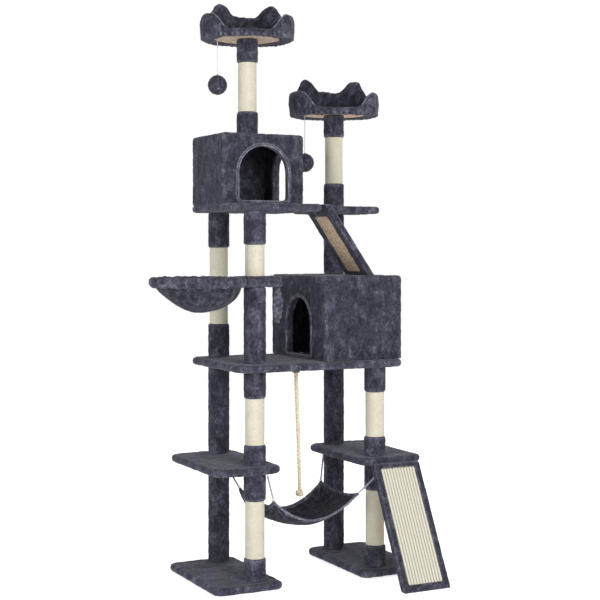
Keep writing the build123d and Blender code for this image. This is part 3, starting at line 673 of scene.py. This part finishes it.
def basket_bowl():
    """The cloth bowl hung from the roll, with folds that fan from its rim."""
    count, rows = 192, 44
    angle = np.linspace(0, 2 * math.pi, count, endpoint=False)
    turn = np.linspace(0, math.pi / 2 * 0.985, rows)
    stretched = 0.5 * np.clip(np.cos(angle - math.radians(165)), 0, 1)[:, None]
    fan = np.sin(angle[:, None] * 19 + 2.2 * turn) * np.sin(np.clip(turn * 2, 0, math.pi))
    fold = sum(np.exp(-(((angle[:, None] - at - drift * turn) / width) ** 2))
               for at, drift, width in BOWL_FOLDS)
    shapes = []
    for inside in (0, 1):
        shrink = BOWL_CLOTH * inside
        bulging, straight = (BOWL_R - shrink) * np.cos(turn), (BOWL_R - shrink) * (1 - np.sin(turn))
        radius = bulging * (1 - stretched) + straight * stretched
        radius = radius + 0.0016 * fan + 0.0045 * fold * np.sin(turn)
        z = BOWL_RIM_Z - (BOWL_DEPTH - shrink) * np.sin(turn)
        ring = np.stack([RING_X + radius * np.cos(angle)[:, None], FRONT_Y + radius * np.sin(angle)[:, None],
                         np.broadcast_to(z, radius.shape)], -1)
        shapes.append(ring[:, ::-1] if inside else ring)
    points = np.concatenate(shapes, axis=1)
    obj = add_mesh("basket_bowl_cloth", *closed_grid(points))
    swell(obj, lambda p: (lumps(p, 0.0012, (0.03, 0.03, 0.03), 5.0)
                          + lumps(p, 0.0006, (0.01, 0.01, 0.01), 5.0)))
    return settle(obj, "soft_cloth", "basket", "basket_cloth")


bowl = basket_bowl()


def basket_tail():
    """The short gathered tongue of plush under the arm."""
    rows, count = 46, 36
    x, top, length, half_width, half_thick = -0.0505, 1.0765, 0.137, 0.0175, 0.0065
    drop = np.linspace(0, 1, rows)[:, None]
    angle = np.linspace(0, 2 * math.pi, count, endpoint=False)
    bulge = np.sin(math.pi * (drop * 0.93 + 0.05))
    width = half_width * bulge ** 0.75 + 0.0012
    thick = half_thick * bulge ** 0.5 + 0.0008
    creases = 1 + 0.10 * np.sin(drop * 31 + 9 * drop ** 2 + 2.6 * np.cos(angle))
    points = np.stack([x + width * np.cos(angle) * creases, FRONT_Y + thick * np.sin(angle) * creases,
                       np.broadcast_to(top - length * drop, (rows, count))], -1)
    flat, quads = closed_grid(points, False, True)
    faces = quads.tolist()
    ends = [list(range(count)), list(range(len(flat) - count, len(flat)))]
    obj = add_mesh("basket_tail_plush", flat, faces + [ends[0][::-1], ends[1]])
    swell(obj, lambda p: lumps(p, 0.0012, (0.012, 0.012, 0.009), 6.0))
    # The tail gets the lighter plush copy as a painted highlight.
    return settle(obj, "highlight_plush", "basket", "basket_tail")


basket_tail()


# ---------------------------------------------------------------- hammock

HAMMOCK_LEFT, HAMMOCK_FRONT, HAMMOCK_LENGTH, HAMMOCK_WIDTH = -0.0835, -0.130, 0.342, 0.293
HAMMOCK_RIGHT, HAMMOCK_REAR = HAMMOCK_LEFT + HAMMOCK_LENGTH, HAMMOCK_FRONT + HAMMOCK_WIDTH
HAMMOCK_CORNERS = [(HAMMOCK_LEFT, HAMMOCK_REAR), (HAMMOCK_LEFT, HAMMOCK_FRONT),
                   (HAMMOCK_RIGHT, HAMMOCK_FRONT), (HAMMOCK_RIGHT, HAMMOCK_REAR)]
HOOKS = [(-0.1055, 0.275), (-0.0955, -0.101), (0.3705, -0.141), (0.3065, 0.232)]
HAMMOCK_TOP, HOOK_Z = 0.308, 0.4


def hammock_point(s, t):
    """A place on the cloth: s runs left to right and t front to rear, both from 0 to 1."""
    across = np.sin(math.pi * np.clip(s, 0, 1)) ** 0.85
    through = np.sin(math.pi * np.clip(t, 0, 1)) ** 0.8
    belly, end_sag = 0.084 + 0.036 * through, (0.056 - 0.036 * s) * through
    x = HAMMOCK_LEFT + HAMMOCK_LENGTH * s - through * (0.007 - 0.011 * s)
    y = HAMMOCK_FRONT + HAMMOCK_WIDTH * t + 0.012 * across * (1 - 2 * t)
    return x, y, HAMMOCK_TOP - belly * across - end_sag * (1 - across)


def hammock():
    """One hung sheet with creases from its corners, four hems and two rolled ends."""
    count_s, count_t = 150, 120
    s, t = np.meshgrid(np.linspace(0, 1, count_s), np.linspace(0, 1, count_t), indexing="ij")
    x, y, z = hammock_point(s, t)
    for corner_s, corner_t, phase in ((0, 0, 0.4), (1, 0, 2.0), (0, 1, 1.1), (1, 1, 3.0)):
        away_s, away_t = np.abs(s - corner_s) * HAMMOCK_LENGTH, np.abs(t - corner_t) * HAMMOCK_WIDTH
        far = np.hypot(away_s, away_t)
        fan = np.sin(np.arctan2(away_t, away_s + 1e-6) * 13 + phase)
        z = z + 0.0042 * fan * np.exp(-far / 0.085) * np.clip(far / 0.02, 0, 1)
    z = z + 0.002 * np.sin(s * 17 + 3 * t) * np.sin(math.pi * t)
    points = np.stack([x, y, z], -1).reshape(-1, 3)
    points[:, 2] += lumps(points, 0.0014, (0.03, 0.03, 0.03), 12.0)
    obj = add_mesh("hammock_sheet", points, loops(count_s, count_t, False, False))
    solid = obj.modifiers.new("thickness", "SOLIDIFY")
    solid.thickness, solid.offset = 0.004, 0
    obj = applied(obj, "hammock_sheet")
    obj.data.shade_smooth()
    settle(obj, "soft_cloth", "hammock", "hammock_cloth")
    along = np.linspace(0, 1, 130)
    hems = []
    for t_edge in (0.0, 1.0):
        for inset, radius in ((0.0, 0.0042), (0.032, 0.0022)):
            place = t_edge + inset * (1 - 2 * t_edge)
            line = np.stack(hammock_point(along, np.full_like(along, place)), -1)
            line[:, 2] += 0.0012
            hems.append(tube(line, radius, 10))
    hem = add_mesh("hammock_hems", *joined(hems))
    swell(hem, lambda p: lumps(p, 0.0008, (0.012, 0.012, 0.012), 2.0))
    # The hems get the lighter plush copy as a painted highlight.
    settle(hem, "highlight_plush", "hammock")
    ends = []
    for s_edge in (0.0, 1.0):
        line = np.stack(hammock_point(np.full_like(along, s_edge), along), -1)
        ends.append(tube(line, 0.0062, 12))
    rolled = add_mesh("hammock_rolled_ends", *joined(ends))
    swell(rolled, lambda p: lumps(p, 0.0012, (0.016, 0.016, 0.016), 7.0))
    settle(rolled, "plush", "hammock")
    return obj, [hem, rolled]


hammock_sheet, hammock_trim = hammock()

CORD_R, CORD_STEPS = 0.0034, 40
for number, ((hook_x, hook_y), (cloth_x, cloth_y)) in enumerate(zip(HOOKS, HAMMOCK_CORNERS)):
    start, end = np.array([hook_x, hook_y, HOOK_Z]), np.array([cloth_x, cloth_y, HAMMOCK_TOP])
    along = (end - start) / np.linalg.norm(end - start)
    run = np.linspace(start + along * 0.003, end - along * 0.004, CORD_STEPS)
    braided = CORD_R * (1 + 0.05 * np.sin(np.linspace(0, 180, CORD_STEPS)))
    cord = add_mesh(f"hammock_cord_{number + 1}", *tube(run, braided, 10))
    give(cord, "elastic_cord")
    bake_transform(cord)
    if number == 0:
        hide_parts("hammock_cords")
    turns = np.linspace(0, 4 * math.pi, CORD_STEPS)
    first, second = frames_along(np.array([start, end]))
    centre = end - along * 0.008
    wrap = centre + 0.0044 * (np.cos(turns)[:, None] * first[0] + np.sin(turns)[:, None] * second[0])
    wrap = wrap + along * np.linspace(-0.005, 0.005, CORD_STEPS)[:, None]
    settle(add_mesh(f"hammock_clip_{number + 1}", *tube(wrap, 0.0016, 8)), "clip", "hammock")


# ---------------------------------------------------------------- climbing rope

ROUTE = [(ROPE_X + drift / 1000, ROPE_Y, z / 1000)
         for drift, z in ((0, 758.7), (2.5, 690), (7, 590), (11, 490), (14, 395), (16, 320))]


def rope():
    """Three strands laid up together along the rope's line."""
    lay_length, strand_offset, strand_r = 0.046, 0.0036, 0.0039
    line = curve_through(ROUTE, 420)
    length = np.concatenate([[0], np.cumsum(np.linalg.norm(np.diff(line, axis=0), axis=1))])
    first, second = frames_along(line)
    strands = []
    for strand in range(3):
        angle = length / lay_length * 2 * math.pi + strand * 2 * math.pi / 3
        centre = line + strand_offset * (np.cos(angle)[:, None] * first + np.sin(angle)[:, None] * second)
        strands.append(tube(centre, strand_r, 12))
    obj = add_mesh("three_strand_rope", *joined(strands))
    swell(obj, lambda p: lumps(p, 0.0002, (0.002, 0.002, 0.004), 1.0))
    settle(obj, "rope_fibre", "rope", "climbing_rope")
    return obj, line


rope_piece, rope_line = rope()
turns = np.linspace(0, 2 * math.pi, 150, endpoint=False)
knot_z, knot_size, knot_height = 0.308, 0.0038 * 0.85, 0.0062
knot_line = np.stack([ROUTE[-1][0] + knot_size * (np.sin(turns) + 2 * np.sin(2 * turns)),
                      ROPE_Y + knot_size * (np.cos(turns) - 2 * np.cos(2 * turns)),
                      knot_z - knot_height * np.sin(3 * turns)], -1)
knot = add_mesh("rope_knot", *tube(knot_line, 0.0064, 14, True))
settle(knot, "rope_fibre", "rope", "rope_end_knot")


# ---------------------------------------------------------------- toy balls

def ball(side, x, y, z, top):
    """A plush ball gathered at its top, on a string."""
    count, rows = 132, 84
    angle = np.linspace(0, 2 * math.pi, count, endpoint=False)[:, None]
    tip = 0.035
    polar = np.linspace(tip, math.pi - tip, rows)[None, :]
    pleat = np.sin(angle * 13 + 1.2 * np.sin(angle * 3)) * np.exp(-polar / 0.55)
    lower = np.sin(angle * 9 + 1.0) * np.exp(-(math.pi - polar) / 0.35)
    radius = BALL_R * (1 + 0.055 * pleat + 0.02 * lower) - 0.004 * np.exp(-(polar / 0.16) ** 2)
    points = np.stack([x + radius * np.sin(polar) * np.cos(angle), y + radius * np.sin(polar) * np.sin(angle),
                       z + radius * np.cos(polar) * (1 + 0 * angle)], -1)
    flat, quads = closed_grid(points, True, False)
    tips = [list(range(0, len(flat), rows)), list(range(rows - 1, len(flat), rows))]
    obj = add_mesh(f"{side}_plush_ball", flat, quads.tolist() + [tips[0], tips[1][::-1]])
    swell(obj, lambda p: (lumps(p, 0.0010, (0.007, 0.007, 0.007), z)
                          + lumps(p, 0.0006, (0.003, 0.003, 0.003), z)))
    settle(obj, "ball_plush", f"{side}_ball", f"{side}_ball")
    curve = bpy.data.curves.new(f"{side}_string", "CURVE")
    curve.dimensions, curve.bevel_depth, curve.bevel_resolution = "3D", STRING_R, 3
    spline = curve.splines.new("NURBS")
    low = z + BALL_R - 0.016
    places = [(x, y, top - (top - low) * part) for part in (0, 0.2, 0.4, 0.6, 0.8, 1)]
    spline.points.add(len(places) - 1)
    for point, place in zip(spline.points, places):
        point.co = (*place, 1)
    spline.order_u, spline.use_endpoint_u = 3, True
    string = placed_object(f"{side}_hanging_string", curve)
    settle(string, "string", f"{side}_ball", f"{side}_ball_string")
    tie = np.stack([x + 0.0026 * np.cos(turns * 2), y + 0.0026 * np.sin(turns * 2),
                    z + BALL_R + 0.0007 + 0.0014 * np.sin(turns * 3)], -1)
    tied = settle(add_mesh(f"{side}_ball_tie", *tube(tie, 0.0016, 8, True)), "rope_cap", f"{side}_ball")


STRING_DROP = 0.0136          # from a perch board's underside to the top of its string
ball("left", -0.1735, 0.170, 1.825, TOP_PERCH_UNDER - STRING_DROP)
ball("right", 0.2485, 0.279, 1.552, SIDE_PERCH_UNDER - STRING_DROP)


# ---------------------------------------------------------------- ramps

for ramp_name, seed in (("bridge_ramp", 91), ("scratch_ramp", 95)):
    skin(f"{ramp_name}_plush", [f"{ramp_name}_cover"], [], "plush", "tree", [f"{ramp_name}_cover"], seed=seed,
         voxel=0.003, relax=4, crush=0.0010)


def scratch_panel():
    """Woven sisal with ribs that run up the scratching ramp."""
    foot, top, rise = -0.412, -0.196, 0.422
    foot_gap, top_gap, edge, ribs = 0.025, 0.015, 0.0003, 12
    back, groove, rib_height, knot_height = -0.0068, -0.0048, 0.0034, 0.0003
    slope = math.atan2(rise, top - foot)
    up = np.array([0, math.cos(slope), math.sin(slope)])
    out = np.array([0, -math.sin(slope), math.cos(slope)])
    rows = np.linspace(foot_gap / math.sin(slope) + edge, (rise - top_gap) / math.sin(slope) - edge, 150)
    columns = np.linspace(WEAVE_START, WEAVE_START + ribs * RIB - 0.0004, 199)
    ridge = np.sqrt(np.clip(1 - (((columns - WEAVE_START) / RIB) % 1 * 2 - 1) ** 2, 0, 1))
    surface = []
    for layer in (0, 1):
        height = np.full((len(rows), len(columns)), back)
        if layer == 0:
            height = groove + rib_height * ridge[None, :] + knot_height * np.sin(rows * 2200)[:, None]
        sheet = np.array([0, foot, 0]) + rows[:, None, None] * up + height[..., None] * out
        sheet[..., 0] = columns[None, :]
        surface.append(sheet[:, ::-1] if layer else sheet)
    points = np.concatenate(surface, axis=1)
    flat, quads = closed_grid(points, False, True)
    count, half = points.shape[1], len(columns)
    faces = quads.tolist()
    for start in (0, len(flat) - count):
        strip = [[start + k, start + k + 1, start + count - 2 - k, start + count - 1 - k]
                 for k in range(half - 1)]
        faces += strip if start else [f[::-1] for f in strip]
    settle(add_mesh("scratch_panel_weave", flat, faces), "woven_sisal", "tree", "scratch_ramp_sisal")


scratch_panel()

# The CAD nodes that stay get the finish of their slot in the record.
for entry in frame["record"]["subparts"]:
    node = NODES[entry["node"]]
    if not node.hide_render:
        give(node, entry["material_slot"])


# ---------------------------------------------------------------- stage, light and camera

def area_light(name, place, target, size, power, colour):
    data = bpy.data.lights.new(name, "AREA")
    data.shape, data.size, data.size_y, data.energy, data.color = "RECTANGLE", size, size, power, colour
    light = placed_object(name, data)
    light.location = place
    aim = np.array(target) - np.array(place)
    flat = math.hypot(aim[0], aim[1])
    light.rotation_euler = (math.atan2(flat, -aim[2]), 0, math.atan2(aim[0], -aim[1]) + math.pi)


# Bright walls all round and a darker ceiling.
world = bpy.data.worlds.new("studio")
world.use_nodes = True
sky = world.node_tree
backdrop = sky.nodes["Background"]
split = add(sky, "ShaderNodeSeparateXYZ")
sky.links.new(add(sky, "ShaderNodeTexCoord").outputs["Generated"], split.inputs["Vector"])
brightness = ramp(sky, split.outputs["Z"],
                  [(0.0, (1.0, 1.0, 1.0)), (0.30, (1.0, 1.0, 1.0)), (0.62, (0.30, 0.30, 0.31))])
sky.links.new(brightness, backdrop.inputs["Color"])
backdrop.inputs["Strength"].default_value = 1.0
bpy.context.scene.world = world
bpy.context.scene.view_settings.view_transform = "Standard"

FLOOR_Z = -0.0005
FLOOR_CORNERS = [(-14, -14, FLOOR_Z), (14, -14, FLOOR_Z), (14, 14, FLOOR_Z), (-14, 14, FLOOR_Z)]
floor = add_mesh("floor", FLOOR_CORNERS, [(0, 1, 2, 3)])
floor_paint = hard("floor_paint", (0.78, 0.78, 0.78), (0.80, 0.80, 0.80), 0.95, 0.0, 3.0)
floor_glow = floor_paint.node_tree.nodes["Principled BSDF"]
floor_glow.inputs["Emission Color"].default_value = (1, 1, 1, 1)
floor_glow.inputs["Emission Strength"].default_value = 0.66
floor.data.materials.append(floor_paint)

area_light("key", (0.4, -4.6, 2.3), (0, 0, 1.1), 2.0, 165, (1, 0.99, 0.97))
area_light("fill", (-3.6, -1.6, 1.7), (0, 0, 1.1), 2.2, 70, (0.97, 0.98, 1))
area_light("rim", (2.6, 2.2, 2.4), (0, 0, 1.2), 1.6, 50, (1, 1, 1))

camera_data = bpy.data.cameras.new("camera")
camera_data.sensor_width, camera_data.lens, camera_data.shift_y = 36, 81, -0.0893
camera = placed_object("camera", camera_data)
camera.location = (-2.1736, -4.4802, 1.2214)
camera.rotation_euler = (math.radians(90), 0, math.radians(-26.77))
bpy.context.scene.camera = camera
